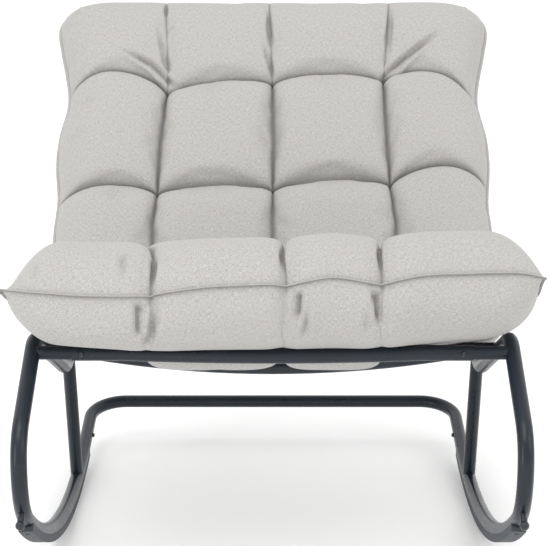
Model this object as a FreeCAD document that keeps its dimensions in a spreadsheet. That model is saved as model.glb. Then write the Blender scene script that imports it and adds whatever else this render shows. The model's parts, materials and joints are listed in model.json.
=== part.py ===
import FreeCAD, Part
import math
import os

import Sketcher
from FreeCAD import Placement, Rotation, Vector

# Outdoor rocking chair: bent steel tube frame with one tufted cushion.
# The front faces -Y and the rockers stand on z = 0. Left (-X) and right (+X) are as seen from the front.

doc = FreeCAD.newDocument("rocking_chair")
sizes = doc.addObject("Spreadsheet::Sheet", "sizes")

# Driving dimensions, in millimetres and degrees
driving = {
    "tube_od": 22.0,
    "tube_wall": 1.2,
    "side_spacing": 662.0,
    "rest_roll": 5.9,
    "slip_gap": 0.3,
    "weld_gap": 0.1,
    "bolt_gap": 0.2,
    # side tube, from the rear end of the rocker to the top of the upright
    "rocker_radius": 961.0,
    "rocker_front_angle": 24.57,
    "rocker_rear_angle": 18.3,
    "rocker_tail": 44.0,
    "nose_low_radius": 97.0,
    "nose_high_radius": 58.0,
    "leg_rise": 35.2,
    "leg_straight": 141.0,
    "top_bend_radius": 50.0,
    "rail_fall": 15.5,
    "rail_straight": 299.0,
    "seat_bend_radius": 90.0,
    "back_lean": 32.0,
    "upright_straight": 233.0,
    # support post under the seat bend
    "post_od": 21.0,
    "post_foot_angle": 11.0,
    "post_top_angle": 44.0,
    # front crossbar, sleeved over a spigot on each leg
    "crossbar_drop": 30.0,
    "crossbar_length": 552.0,
    "crossbar_sag": 4.0,
    "spigot_overlap": 60.0,
    "crossbar_bolt_inset": 14.0,
    "crossbar_end_margin": 10.0,
    # rear bar and back hoop, both U shaped with swaged ends
    "rear_bar_reach": 115.0,
    "rear_bar_corner": 62.0,
    "hoop_reach": 343.0,
    "hoop_corner": 70.0,
    "swage_length": 40.0,
    "swage_shoulder": 3.0,
    "joint_bolt_inset": 12.0,
    # bowed cross tubes under the seat and behind the back
    "bow_end": 40.0,
    "bow_bend_radius": 90.0,
    "seat_tube_setback": 104.0,
    "seat_tube_sag": 25.0,
    "low_back_tube_rise": 40.0,
    "high_back_tube_rise": 110.0,
    "back_tube_sag": 25.0,
    "plug_length": 30.0,
    # fasteners
    "bolt_diameter": 5.0,
    "bolt_head_diameter": 8.5,
    "bolt_head_top": 5.6,
    "bolt_head_height": 3.0,
    "bolt_past_centre": 2.0,
    "bolt_short_of_plug": 4.0,
    "insert_diameter": 8.0,
    "insert_length": 10.0,
    "crossbar_insert_length": 8.0,
    "screw_diameter": 4.0,
    "screw_head_diameter": 7.0,
    "screw_head_height": 2.0,
    "screw_length": 12.0,
    # rocker strips and front stops
    "strip_depth": 6.0,
    "strip_width": 20.0,
    "strip_front_angle": 24.3,
    "strip_rear_angle": 17.7,
    "stop_angle": 43.0,
    "stop_barrel_diameter": 9.5,
    "stop_barrel_length": 13.0,
    "stop_ball_diameter": 12.7,
    "stop_ball_seat": 4.2,
    "stud_diameter": 4.0,
    "stud_length": 14.0,
    # cushion, folded between seat and back
    "cushion_width": 736.0,
    "cushion_column": 186.0,
    "cushion_seam_height": 49.2,
    "cushion_front_overhang": 115.0,
    "seat_rows": 3.0,
    "cushion_front_crown": 83.0,
    "cushion_front_channel": 62.0,
    "cushion_seat_crown": 67.0,
    "cushion_crown": 72.0,
    "cushion_channel": 40.0,
    "cushion_row_dip": 44.0,
    "cushion_tuft": 16.0,
    "cushion_shoulder_place": 0.6,
    "cushion_shoulder_share": 0.9,
    "fold_shoulder_place": 0.4,
    "fold_shoulder_share": 0.97,
    "column_shoulder_place": 0.75,
    "column_shoulder_share": 0.78,
    "cushion_front_belly": 62.9,
    "cushion_belly": 55.2,
    "cushion_base": 43.0,
    "cushion_side_draw": 12.0,
    "cushion_rest_gap": 0.587,
    "flat_ease": 0.98,
    "solve_step": 1e-7,
    "solve_spots": 80,
    "cushion_edge": 10.0,
    "cushion_edge_run": 28.0,
    "cushion_edge_share": 0.6,
    "tuft_base_share": 0.8,
    "near_crown_share": 0.78,
    "near_belly_share": 0.85,
    "near_draw_share": 0.25,
    "head_belly_share": 0.62,
    "fold_dip_share": 0.8,
    "fold_belly_share": 0.55,
    "fold_base_share": 0.45,
    "back_first_row": 248.0,
    "back_second_row": 201.0,
    "cushion_top_overhang": 31.5,
}
for row, (alias, number) in enumerate(driving.items(), start=1):
    sizes.set("A%d" % row, alias)
    sizes.set("B%d" % row, str(number))
    sizes.setAlias("B%d" % row, alias)
doc.recompute()


def measure(text):
    number = sizes.evalExpression(text)
    return float(getattr(number, "Value", number))


def size(alias):
    return measure("sizes." + alias)


def direction(angle):
    return Vector(math.cos(math.radians(angle)), math.sin(math.radians(angle)), 0)


# Bent tube paths: runs and bends in order, each size an expression on the sheet

def trace(program, start, heading):
    point = start
    steps = []
    for step in program:
        if step[0] == "run":
            length = measure(step[1])
            end = point + direction(heading) * length
            steps.append({"kind": "run", "start": point, "end": end, "heading": heading,
                          "length": length, "after": heading})
        else:
            side = 1 if step[0] == "left" else -1
            radius = measure(step[1])
            turn = side * measure(step[2])
            centre = point + direction(heading + 90 * side) * radius
            first = heading - 90 * side
            end = centre + direction(first + turn) * radius
            steps.append({"kind": "bend", "start": point, "end": end, "heading": heading,
                          "centre": centre, "radius": radius, "first": first, "turn": turn,
                          "after": heading + turn})
        point = steps[-1]["end"]
        heading = steps[-1]["after"]
    return steps


def bind(sketch, constraint, text):
    index = sketch.addConstraint(constraint)
    sketch.setExpression("Constraints[%d]" % index, text)


def draw_path(sketch, program, start, heading):
    previous = None
    for step, text in zip(trace(program, start, heading), program):
        if step["kind"] == "run":
            geo = sketch.addGeometry(Part.LineSegment(step["start"], step["end"]))
            head, tail = 1, 2
            bind(sketch, Sketcher.Constraint("Distance", geo, step["length"]), text[1])
        else:
            circle = Part.Circle(step["centre"], Vector(0, 0, 1), step["radius"])
            low, high = sorted((step["first"], step["first"] + step["turn"]))
            arc = Part.ArcOfCircle(circle, math.radians(low), math.radians(high))
            geo = sketch.addGeometry(arc)
            head, tail = (1, 2) if step["turn"] > 0 else (2, 1)
            bind(sketch, Sketcher.Constraint("Radius", geo, step["radius"]), text[1])
            bind(sketch, Sketcher.Constraint("Angle", geo, math.radians(high - low)), text[2])
        if previous:
            sketch.addConstraint(Sketcher.Constraint("Tangent", previous[0], previous[1], geo, head))
        previous = (geo, tail)


def origin_plane(body, role):
    return [feature for feature in body.Origin.OriginFeatures if feature.Role == role][0]


def new_body(name):
    body = doc.addObject("PartDesign::Body", name)
    body.Label = name
    return body


def plane_sketch(body, name, role):
    sketch = body.newObject("Sketcher::SketchObject", name)
    sketch.AttachmentSupport = [(origin_plane(body, role), "")]
    sketch.MapMode = "FlatFace"
    return sketch


def add_circle(sketch, diameter_text, centre=None):
    place = centre or Vector(0, 0, 0)
    diameter = measure(diameter_text)
    geo = sketch.addGeometry(Part.Circle(place, Vector(0, 0, 1), diameter / 2))
    if centre is None:
        sketch.addConstraint(Sketcher.Constraint("Coincident", geo, 3, -1, 1))
    else:
        sketch.addConstraint(Sketcher.Constraint("Block", geo))
    if centre is None:
        bind(sketch, Sketcher.Constraint("Diameter", geo, diameter), diameter_text)


def sweep_section(body, path, diameters):
    doc.recompute()
    section = body.newObject("Sketcher::SketchObject", body.Name + "_section")
    section.AttachmentSupport = [(path, "Edge1")]
    section.MapMode = "NormalToEdge"
    for text in diameters:
        add_circle(section, text)
    pipe = body.newObject("PartDesign::AdditivePipe", body.Name + "_pipe")
    pipe.Profile = section
    pipe.Spine = (path, ["Edge%d" % (i + 1) for i in range(len(path.Shape.Edges))])
    doc.recompute()


def bore(body, name, role, centres, diameter_text, length_text, reverse=False, both=False):
    sketch = plane_sketch(body, name + "_sketch", role)
    for centre in centres:
        add_circle(sketch, diameter_text, centre)
    pocket = body.newObject("PartDesign::Pocket", name)
    pocket.Profile = sketch
    pocket.Midplane = both
    pocket.Reversed = reverse
    pocket.setExpression("Length", length_text)
    doc.recompute()


tube_inner = "sizes.tube_od - 2 * sizes.tube_wall"
swage_outer = "sizes.tube_od - 2 * sizes.tube_wall - 2 * sizes.slip_gap"
swage_inner = "sizes.tube_od - 4 * sizes.tube_wall - 2 * sizes.slip_gap"
hollow = ["sizes.tube_od", tube_inner]
envelope = ["sizes.tube_od + 2 * sizes.weld_gap"]
bolt_hole = "sizes.bolt_diameter + 2 * sizes.bolt_gap"
half_bolt = "sizes.tube_od / 2 + sizes.bolt_past_centre"

side_program = [
    ("run", "sizes.rocker_tail"),
    ("right", "sizes.rocker_radius", "sizes.rocker_front_angle + sizes.rocker_rear_angle"),
    ("right", "sizes.nose_low_radius", "90 - sizes.rocker_front_angle"),
    ("right", "sizes.nose_high_radius", "90 - sizes.leg_rise"),
    ("run", "sizes.leg_straight"),
    ("right", "sizes.top_bend_radius", "sizes.leg_rise + sizes.rail_fall"),
    ("run", "sizes.rail_straight"),
    ("left", "sizes.seat_bend_radius", "sizes.rail_fall + 90 - sizes.back_lean"),
    ("run", "sizes.upright_straight"),
]

# Places along the side tube, measured from the centre of the rocker arc
rear_angle = size("rocker_rear_angle")
rocker_end = direction(rear_angle - 90) * size("rocker_radius")
side_start = rocker_end + direction(rear_angle) * size("rocker_tail")
side_heading = 180 + rear_angle
side_steps = trace(side_program, side_start, side_heading)
tail, rocker, nose_low, nose_high, leg, top_bend, rail, seat_bend, upright = side_steps

rear_bar_point = side_start + direction(rear_angle) * size("rear_bar_reach")
hoop_bar_point = upright["end"] + direction(upright["heading"]) * size("hoop_reach")
nose_point = nose_low["centre"] + direction(180 + size("rest_roll")) * size("nose_low_radius")

# At rest the chair is rolled back on its rockers until its weight is above the floor contact
roll = Rotation(Vector(1, 0, 0), -size("rest_roll"))


def rolled(flat):
    return roll.multVec(Vector(0, flat.x, flat.y))


rear_most = max(rolled(rear_bar_point).y, rolled(hoop_bar_point).y)
rocker_centre = Vector(0, -(rolled(nose_point).y + rear_most) / 2,
                       size("rocker_radius") + size("tube_od") / 2 + size("strip_depth"))
half_spacing = size("side_spacing") / 2
sides = (("left", -1), ("right", 1))


def chair_point(x, flat):
    return rocker_centre + Vector(x, 0, 0) + rolled(flat)


def side_direction(angle):
    return rolled(direction(angle))


def tilted(angle):
    return Rotation(Vector(1, 0, 0), angle - size("rest_roll"))


def along(step, distance):
    return step["start"] + direction(step["heading"]) * distance


def on_arc(step, angle):
    turn = math.copysign(angle, step["turn"])
    return step["centre"] + direction(step["first"] + turn) * step["radius"]


crossbar_point = along(leg, size("leg_straight") + size("top_bend_radius")
                       * math.tan(math.radians((size("leg_rise") + size("rail_fall")) / 2))
                       - size("crossbar_drop"))
seat_tube_point = along(rail, size("seat_tube_setback"))
low_back_point = along(upright, size("low_back_tube_rise"))
hoop_point = upright["end"]
high_back_point = hoop_point + direction(upright["heading"]) * size("high_back_tube_rise")
post_foot = direction(size("post_foot_angle") - 90) * size("rocker_radius")
post_top = on_arc(seat_bend, size("post_top_angle"))
rear_bolt_point = along(tail, size("joint_bolt_inset"))
hoop_bolt_point = along(upright, size("upright_straight") - size("joint_bolt_inset"))
stop_turn = 90 - size("rocker_front_angle") - size("stop_angle")
stop_point = on_arc(nose_low, stop_turn)
stop_axis = direction(180 + size("stop_angle"))


def side_tube(name, x, section):
    body = new_body(name)
    path = plane_sketch(body, name + "_path", "YZ_Plane")
    draw_path(path, side_program, side_start, side_heading)
    path.addConstraint(Sketcher.Constraint("Coincident", 1, 3, -1, 1))
    reach = Sketcher.Constraint("DistanceX", -1, 1, 1, 2, rocker_end.x)
    bind(path, reach, "sizes.rocker_radius * sin(sizes.rocker_rear_angle)")
    sweep_section(body, path, section)
    body.Placement = Placement(chair_point(x, Vector(0, 0, 0)), roll)
    return body


def strip_screw_points():
    front = -90 - size("strip_front_angle")
    rear = -90 + size("strip_rear_angle")
    margin = math.degrees(size("strip_width") / size("rocker_radius"))
    return [front + margin, (front + rear) / 2, rear - margin]


nodes = []


def keep(item, name):
    item.Label = name
    nodes.append((name, item))
    return item


def cut(name, base, tools):
    result = base
    for number, tool in enumerate(tools):
        part = doc.addObject("Part::Cut", "%s_cut%d" % (name, number))
        part.Base = result
        part.Tool = tool
        result = part
    doc.recompute()
    return result


def cylinder(name, diameter_text, length_text, base, axis):
    rod = doc.addObject("Part::Cylinder", name)
    rod.setExpression("Radius", "(%s) / 2" % diameter_text)
    rod.setExpression("Height", length_text)
    rod.Placement = Placement(base, Rotation(Vector(0, 0, 1), axis))
    return rod


def fuse(name, items):
    joined = doc.addObject("Part::MultiFuse", name)
    joined.Shapes = items
    return joined


def group(name, items):
    bundle = doc.addObject("Part::Compound", name)
    bundle.Links = items
    return keep(bundle, name)


def bolt(name, seat, axis, length_text):
    shank = cylinder(name + "_shank", "sizes.bolt_diameter", length_text, seat, axis)
    head = doc.addObject("Part::Cone", name + "_head")
    head.setExpression("Radius1", "sizes.bolt_head_diameter / 2")
    head.setExpression("Radius2", "sizes.bolt_head_top / 2")
    head.setExpression("Height", "sizes.bolt_head_height")
    head.Placement = Placement(seat, Rotation(Vector(0, 0, 1), axis * -1))
    return fuse(name, [shank, head])


def insert_depth():
    inner = measure(swage_inner) / 2
    return math.sqrt(inner ** 2 - (size("insert_diameter") / 2) ** 2) - size("bolt_gap")


def sleeve(name, outer_text, bore_text, length_text, base, axis):
    outside = cylinder(name + "_outside", outer_text, length_text, base, axis)
    inside = cylinder(name + "_bore", bore_text, length_text, base, axis)
    return cut(name, outside, [inside])


# Side tubes, with a solid copy of each for the fish mouths
side_rods = {}
for side, sign in sides:
    x = sign * half_spacing
    side_rods[side] = side_tube(side + "_side_rod", x, envelope)
    tube = side_tube(side + "_side_tube", x, hollow)
    bore(tube, side + "_joint_holes", "YZ_Plane", [rear_bolt_point, hoop_bolt_point],
         bolt_hole, "sizes.tube_od", reverse=sign < 0)
    bore(tube, side + "_through_holes", "YZ_Plane", [seat_tube_point, low_back_point],
         bolt_hole, "2 * sizes.tube_od", both=True)
    stud_hole = cylinder(side + "_stud_hole", "sizes.stud_diameter + 2 * sizes.bolt_gap",
                         "sizes.tube_od", chair_point(x, stop_point), rolled(stop_axis))
    screw_holes = [cylinder("%s_screw_hole%d" % (side, number),
                            "sizes.screw_diameter + 2 * sizes.bolt_gap", "sizes.tube_od",
                            chair_point(x, direction(angle) * size("rocker_radius")),
                            side_direction(angle))
                   for number, angle in enumerate(strip_screw_points())]
    keep(cut(side + "_side_tube_drilled", tube, [stud_hole] + screw_holes), side + "_side_tube")

# Support posts, fish mouthed on the rocker and under the seat bend
for side, sign in sides:
    x = sign * half_spacing
    foot = chair_point(x, post_foot)
    top = chair_point(x, post_top)
    post = new_body(side + "_post_tube")
    ring = plane_sketch(post, side + "_post_section", "XY_Plane")
    add_circle(ring, "sizes.post_od")
    add_circle(ring, "sizes.post_od - 2 * sizes.tube_wall")
    pad = post.newObject("PartDesign::Pad", side + "_post_pad")
    pad.Profile = ring
    pad.Length = (top - foot).Length
    post.Placement = Placement(foot, Rotation(Vector(0, 0, 1), top - foot))
    doc.recompute()
    keep(cut(side + "_support_post_mouthed", post, [side_rods[side]]), side + "_support_post")


# Bowed tubes: straight ends and a shallow sag between them

def bowed_tube(name, length_text, sag_text, end_text, bend_text, place, tilt):
    lean = "2 * atan((%s) / ((%s) / 2 - (%s)))" % (sag_text, length_text, end_text)
    wide = "((%s) / 2 - (%s)) / sin(%s) - (%s)" % (length_text, end_text, lean, bend_text)
    program = [
        ("run", end_text),
        ("right", bend_text, lean),
        ("left", wide, "2 * " + lean),
        ("right", bend_text, lean),
        ("run", end_text),
    ]
    body = new_body(name)
    path = plane_sketch(body, name + "_path", "XY_Plane")
    half = measure(length_text) / 2
    draw_path(path, program, Vector(-half, 0, 0), 0)
    path.addConstraint(Sketcher.Constraint("PointOnObject", 0, 1, -1))
    path.addConstraint(Sketcher.Constraint("Horizontal", 0))
    bind(path, Sketcher.Constraint("DistanceX", 0, 1, -1, 1, half), "(%s) / 2" % length_text)
    sweep_section(body, path, hollow)
    body.Placement = Placement(place, tilted(tilt))
    return body


# Front crossbar, its welded spigots and its bolts
bolt_forward = side_direction(180)
crossbar_place = chair_point(0, crossbar_point)
bolt_reach = size("crossbar_length") / 2 - size("crossbar_bolt_inset")
bolt_face = bolt_forward * (size("tube_od") / 2)
crossbar = bowed_tube("front_crossbar_tube", "sizes.crossbar_length", "sizes.crossbar_sag",
                      "sizes.spigot_overlap + sizes.crossbar_end_margin", "sizes.bow_bend_radius",
                      crossbar_place, 90)
crossbar_holes = []
crossbar_bolts = []
crossbar_inserts = []
for side, sign in sides:
    axis = Vector(-sign, 0, 0)
    leg_place = chair_point(sign * half_spacing, crossbar_point)
    spigot = sleeve(side + "_spigot_tube", swage_outer, swage_inner,
                    "(sizes.side_spacing - sizes.crossbar_length) / 2 + sizes.spigot_overlap",
                    leg_place, axis)
    centre = crossbar_place + Vector(sign * bolt_reach, 0, 0)
    hole = cylinder(side + "_crossbar_hole", bolt_hole, "sizes.tube_od", centre, bolt_forward)
    crossbar_holes.append(hole)
    keep(cut(side + "_spigot_mouthed", spigot, [side_rods[side], hole]),
         side + "_crossbar_spigot")
    crossbar_bolts.append(bolt(side + "_crossbar_bolt", centre + bolt_face, bolt_forward * -1,
                               half_bolt))
    inner_face = bolt_forward * insert_depth()
    crossbar_inserts.append(sleeve(side + "_crossbar_insert", "sizes.insert_diameter",
                                   bolt_hole, "sizes.crossbar_insert_length",
                                   centre + inner_face, bolt_forward * -1))
keep(cut("front_crossbar_drilled", crossbar, crossbar_holes), "front_crossbar")
group("crossbar_bolts", crossbar_bolts)
group("crossbar_inserts", crossbar_inserts)


# U shaped tubes whose swaged ends plug into the side tubes

def u_tube(name, reach_text, corner_text, flat_point, angle):
    run = "%s - %s" % (reach_text, corner_text)
    program = [
        ("run", run),
        ("right", corner_text, "90"),
        ("run", "sizes.side_spacing - 2 * %s" % corner_text),
        ("right", corner_text, "90"),
        ("run", run),
    ]
    body = new_body(name)
    path = plane_sketch(body, name + "_path", "XY_Plane")
    draw_path(path, program, Vector(-half_spacing, 0, 0), 90)
    path.addConstraint(Sketcher.Constraint("PointOnObject", 0, 1, -1))
    path.addConstraint(Sketcher.Constraint("Vertical", 0))
    bind(path, Sketcher.Constraint("DistanceX", 0, 1, -1, 1, half_spacing),
         "sizes.side_spacing / 2")
    sweep_section(body, path, hollow)
    ends = [Vector(-half_spacing, 0, 0), Vector(half_spacing, 0, 0)]
    steps = (("shoulder", "sizes.tube_od", "sizes.swage_shoulder", True),
             ("swage", swage_outer, "sizes.swage_length", False))
    for part, outer, length, reverse in steps:
        ring = plane_sketch(body, "%s_%s_section" % (name, part), "XZ_Plane")
        for end in ends:
            add_circle(ring, outer, end)
            add_circle(ring, swage_inner, end)
        pad = body.newObject("PartDesign::Pad", "%s_%s" % (name, part))
        pad.Profile = ring
        pad.Reversed = reverse
        pad.setExpression("Length", length)
        doc.recompute()
    body.Placement = Placement(chair_point(0, flat_point), tilted(angle))
    return body


def joint_fasteners(name, flat_point):
    bolts = []
    inserts = []
    holes = []
    for side, sign in sides:
        inward = Vector(-sign, 0, 0)
        centre = chair_point(sign * half_spacing, flat_point)
        seat = centre + inward * (size("tube_od") / 2)
        wall = centre + inward * insert_depth()
        bolts.append(bolt("%s_%s_bolt" % (name, side), seat, inward * -1, half_bolt))
        inserts.append(sleeve("%s_%s_insert" % (name, side), "sizes.insert_diameter", bolt_hole,
                              "sizes.insert_length", wall, inward * -1))
        holes.append(cylinder("%s_%s_hole" % (name, side), bolt_hole, "sizes.tube_od",
                              centre, inward))
    group(name + "_bolts", bolts)
    group(name + "_inserts", inserts)
    return holes


rear_bar = u_tube("rear_bar_tube", "sizes.rear_bar_reach", "sizes.rear_bar_corner",
                  side_start, rear_angle)
keep(cut("rear_bar_drilled", rear_bar, joint_fasteners("rear_bar", rear_bolt_point)), "rear_bar")

hoop = u_tube("back_hoop_tube", "sizes.hoop_reach", "sizes.hoop_corner",
              hoop_point, upright["heading"])
bore(hoop, "hoop_through_holes", "YZ_Plane", [Vector(size("high_back_tube_rise"), 0, 0)],
     bolt_hole, "2 * sizes.side_spacing", both=True)
keep(cut("back_hoop_drilled", hoop, joint_fasteners("back_hoop", hoop_bolt_point)), "back_hoop")
hoop_rods = [cylinder(side + "_hoop_rod", envelope[0], "sizes.hoop_reach - sizes.hoop_corner",
                      chair_point(sign * half_spacing, hoop_point),
                      side_direction(upright["heading"]))
             for side, sign in sides]

# Bowed tubes that carry the cushion, bolted through the rails and uprights
back_tilt = 90 + upright["heading"]
cross_tubes = [
    ("seat_support_tube", "sizes.seat_tube_sag", seat_tube_point, 90, list(side_rods.values())),
    ("low_back_tube", "sizes.back_tube_sag", low_back_point, back_tilt, list(side_rods.values())),
    ("high_back_tube", "sizes.back_tube_sag", high_back_point, back_tilt, hoop_rods),
]
cross_plugs = []
cross_bolts = []
for name, sag, flat_point, tilt, rods in cross_tubes:
    tube = bowed_tube(name + "_bent", "sizes.side_spacing", sag, "sizes.bow_end",
                      "sizes.bow_bend_radius", chair_point(0, flat_point), tilt)
    keep(cut(name + "_mouthed", tube, rods), name)
    for side, sign in sides:
        inward = Vector(-sign, 0, 0)
        centre = chair_point(sign * half_spacing, flat_point)
        inner = centre + inward * (size("tube_od") / 2 + size("slip_gap"))
        outer = centre - inward * (size("tube_od") / 2)
        cross_plugs.append(sleeve("%s_%s_plug" % (name, side), tube_inner + " - 2 * sizes.weld_gap",
                                  bolt_hole, "sizes.plug_length", inner, inward))
        cross_bolts.append(bolt("%s_%s_bolt" % (name, side), outer, inward,
                                "sizes.tube_od + sizes.plug_length - sizes.bolt_short_of_plug"))
group("cross_tube_plugs", cross_plugs)
group("cross_tube_bolts", cross_bolts)

# Rocker strips: a saddle section turned about the rocker centre, and their screws
strip_screws = []
for side, sign in sides:
    x = sign * half_spacing
    strip = new_body(side + "_strip_body")
    section = plane_sketch(strip, side + "_strip_section", "XZ_Plane")
    strip_half = size("strip_width") / 2
    saddle = size("tube_od") / 2 + size("weld_gap")
    radius = size("rocker_radius")
    lip = -radius - math.sqrt(saddle ** 2 - strip_half ** 2)
    sole = -radius - size("tube_od") / 2 - size("strip_depth")
    corners = [Vector(-strip_half, lip, 0), Vector(-strip_half, sole, 0),
               Vector(strip_half, sole, 0), Vector(strip_half, lip, 0)]
    for start, end in zip(corners, corners[1:]):
        section.addGeometry(Part.LineSegment(start, end))
    crown = Part.Circle(Vector(0, -radius, 0), Vector(0, 0, 1), saddle)
    lip_angle = math.atan2(lip + radius, strip_half)
    section.addGeometry(Part.ArcOfCircle(crown, -math.pi - lip_angle, lip_angle))
    for first, second in ((0, 1), (1, 2)):
        section.addConstraint(Sketcher.Constraint("Coincident", first, 2, second, 1))
    section.addConstraint(Sketcher.Constraint("Coincident", 3, 1, 0, 1))
    section.addConstraint(Sketcher.Constraint("Coincident", 3, 2, 2, 2))
    section.addConstraint(Sketcher.Constraint("Vertical", 0))
    section.addConstraint(Sketcher.Constraint("Horizontal", 1))
    section.addConstraint(Sketcher.Constraint("Vertical", 2))
    section.addConstraint(Sketcher.Constraint("PointOnObject", 3, 3, -2))
    bind(section, Sketcher.Constraint("DistanceX", 1, 1, 1, 2, 2 * strip_half), "sizes.strip_width")
    bind(section, Sketcher.Constraint("DistanceX", 0, 2, -1, 1, strip_half), "sizes.strip_width / 2")
    bind(section, Sketcher.Constraint("DistanceY", 0, 2, -1, 1, -sole),
         "sizes.rocker_radius + sizes.tube_od / 2 + sizes.strip_depth")
    bind(section, Sketcher.Constraint("DistanceY", 3, 3, -1, 1, radius), "sizes.rocker_radius")
    bind(section, Sketcher.Constraint("Radius", 3, saddle), "sizes.tube_od / 2 + sizes.weld_gap")
    turn = strip.newObject("PartDesign::Revolution", side + "_strip_turn")
    turn.Profile = section
    turn.ReferenceAxis = (section, ["H_Axis"])
    turn.setExpression("Angle", "sizes.strip_front_angle + sizes.strip_rear_angle")
    strip.Placement = Placement(chair_point(x, Vector(0, 0, 0)), tilted(-size("strip_front_angle")))
    doc.recompute()
    sinks = []
    head_seat = radius + size("tube_od") / 2 + size("strip_depth") / 2
    for number, angle in enumerate(strip_screw_points()):
        outward = side_direction(angle)
        sole_point = chair_point(x, direction(angle) * head_seat)
        name = "%s_strip_screw%d" % (side, number)
        shank = cylinder(name + "_shank", "sizes.screw_diameter", "sizes.screw_length",
                         sole_point, outward * -1)
        head = cylinder(name + "_head", "sizes.screw_head_diameter", "sizes.screw_head_height",
                        sole_point, outward)
        strip_screws.append(fuse(name, [shank, head]))
        sinks.append(cylinder(name + "_pilot", "sizes.screw_diameter + 2 * sizes.bolt_gap",
                              "sizes.strip_depth", sole_point, outward * -1))
        sinks.append(cylinder(name + "_sink", "sizes.screw_head_diameter + 2 * sizes.bolt_gap",
                              "sizes.strip_depth", sole_point, outward))
    keep(cut(side + "_rocker_strip_drilled", strip, sinks), side + "_rocker_strip")
group("strip_screws", strip_screws)

# Front stops: a ball ended bumper on a stud under each nose
stop_studs = []
stop_out = rolled(stop_axis)
for side, sign in sides:
    base = chair_point(sign * half_spacing, stop_point)
    barrel_text = "sizes.tube_od / 2 + sizes.stop_barrel_length"
    barrel = cylinder(side + "_stop_barrel", "sizes.stop_barrel_diameter", barrel_text, base, stop_out)
    ball = doc.addObject("Part::Sphere", side + "_stop_ball")
    ball.setExpression("Radius", "sizes.stop_ball_diameter / 2")
    ball.Placement.Base = base + stop_out * (measure(barrel_text) + size("stop_ball_seat"))
    bumper = fuse(side + "_stop_shape", [barrel, ball])
    stud_start = base + stop_out * (size("tube_od") / 2 - size("stud_length") / 2)
    stud_socket = cylinder(side + "_stud_socket", "sizes.stud_diameter + 2 * sizes.weld_gap",
                           "sizes.stud_length + 2 * sizes.weld_gap", stud_start, stop_out)
    stop_studs.append(cylinder(side + "_stop_stud", "sizes.stud_diameter", "sizes.stud_length",
                               stud_start, stop_out))
    keep(cut(side + "_stop_seated", bumper, [side_rods[side], stud_socket]), side + "_stop_bumper")
group("stop_studs", stop_studs)


# Cushion: one tufted pad folded along the seam between seat and back

# How far a bowed tube has sagged at a place along it
def bow_drop(x, sag):
    half_bow = half_spacing - size("bow_end")
    bend = size("bow_bend_radius")
    lean = 2 * math.atan(sag / half_bow)
    wide = half_bow / math.sin(lean) - bend
    if abs(x) < wide * math.sin(lean):
        return sag - wide + math.sqrt(wide ** 2 - x ** 2)
    if abs(x) < half_bow:
        return bend - math.sqrt(bend ** 2 - (half_bow - abs(x)) ** 2)
    return 0


def outer_drop(inner_drop, belly, ease):
    return belly + (inner_drop / 2 - belly) * ease


# The outer columns hang just clear of the bowed tubes they rest on
def rest_ease():
    half = size("cushion_width") / 2
    column, base, belly = size("cushion_column"), size("cushion_base"), size("cushion_belly")
    sag = min(size("seat_tube_sag"), size("back_tube_sag"))
    room = size("cushion_seam_height") - size("tube_od") / 2 - size("cushion_rest_gap")
    tight, loose = 0.0, size("flat_ease")
    while loose - tight > size("solve_step"):
        ease = (tight + loose) / 2
        middle = Vector((column + half) / 2, outer_drop(base, belly, ease), 0)
        line = Part.Arc(Vector(column, base, 0), middle, Vector(half, 0, 0)).toShape()
        spots = line.discretize(Number=int(size("solve_spots")))
        reach = max(spot.y - bow_drop(spot.x, sag) for spot in spots)
        if reach > room:
            tight = ease
        else:
            loose = ease
    return loose


under_ease = rest_ease()


def cushion_section(point, normal, half, crown, channel, belly, base):
    column = size("cushion_column")
    stations = [-half, -column, 0, column, half]

    def place(u, v):
        return chair_point(u, point + normal * v)

    def top_edges():
        shoulder = size("column_shoulder_place")
        share = size("column_shoulder_share")
        heights = [0, channel, channel, channel, 0]
        spans = list(zip(stations, heights))
        edges = []
        for (u0, v0), (u1, v1) in zip(spans, spans[1:]):
            spots = [place(u0, v0)]
            for spot in (-shoulder, 0, shoulder):
                chord = v0 + (v1 - v0) * (spot + 1) / 2
                reach = share if spot else 1
                spots.append(place(u0 + (u1 - u0) * (spot + 1) / 2, chord + (crown - chord) * reach))
            spots.append(place(u1, v1))
            curve = Part.BSplineCurve()
            curve.interpolate(spots)
            edges.append(curve.toShape())
        return edges

    def under_edges():
        heights = [0, -base, -base, -base, 0]
        spans = list(zip(stations, heights))
        edges = []
        for (u0, v0), (u1, v1) in zip(spans, spans[1:]):
            outer = abs(u0 + u1) > 2 * column
            drop = outer_drop(-(v0 + v1), belly, under_ease) if outer else belly
            middle = place((u0 + u1) / 2, -drop)
            edges.append(Part.Arc(place(u0, v0), middle, place(u1, v1)).toShape())
        return edges

    return Part.Wire(top_edges() + [edge.reversed() for edge in reversed(under_edges())])


seat_angle = -size("rail_fall")
back_angle = upright["heading"]
seat_up = direction(seat_angle + 90)
back_up = direction(back_angle + 90)
seam_height = size("cushion_seam_height")
half_fold = math.radians((180 - seat_bend["turn"]) / 2)
fold_up = direction((seat_angle + back_angle) / 2 + 90)
corner_reach = size("seat_bend_radius") * math.tan(math.radians(seat_bend["turn"] / 2))
seat_corner = along(rail, size("rail_straight") + corner_reach)
fold = seat_corner + fold_up * (seam_height / math.sin(half_fold))
top_reach = size("top_bend_radius") * math.tan(math.radians(-top_bend["turn"] / 2))
seat_front = along(rail, -top_reach - size("cushion_front_overhang")) + seat_up * seam_height
seat_length = (fold - seat_front).Length
seat_way = direction(seat_angle)
back_way = direction(back_angle)
half_width = size("cushion_width") / 2
drawn = half_width - size("cushion_side_draw")
near_half = half_width - size("cushion_side_draw") * size("near_draw_share")
thin_channel = size("cushion_edge") * size("cushion_edge_share")
dip, tuft = size("cushion_row_dip"), size("cushion_tuft")
belly, base = size("cushion_belly"), size("cushion_base")


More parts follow.
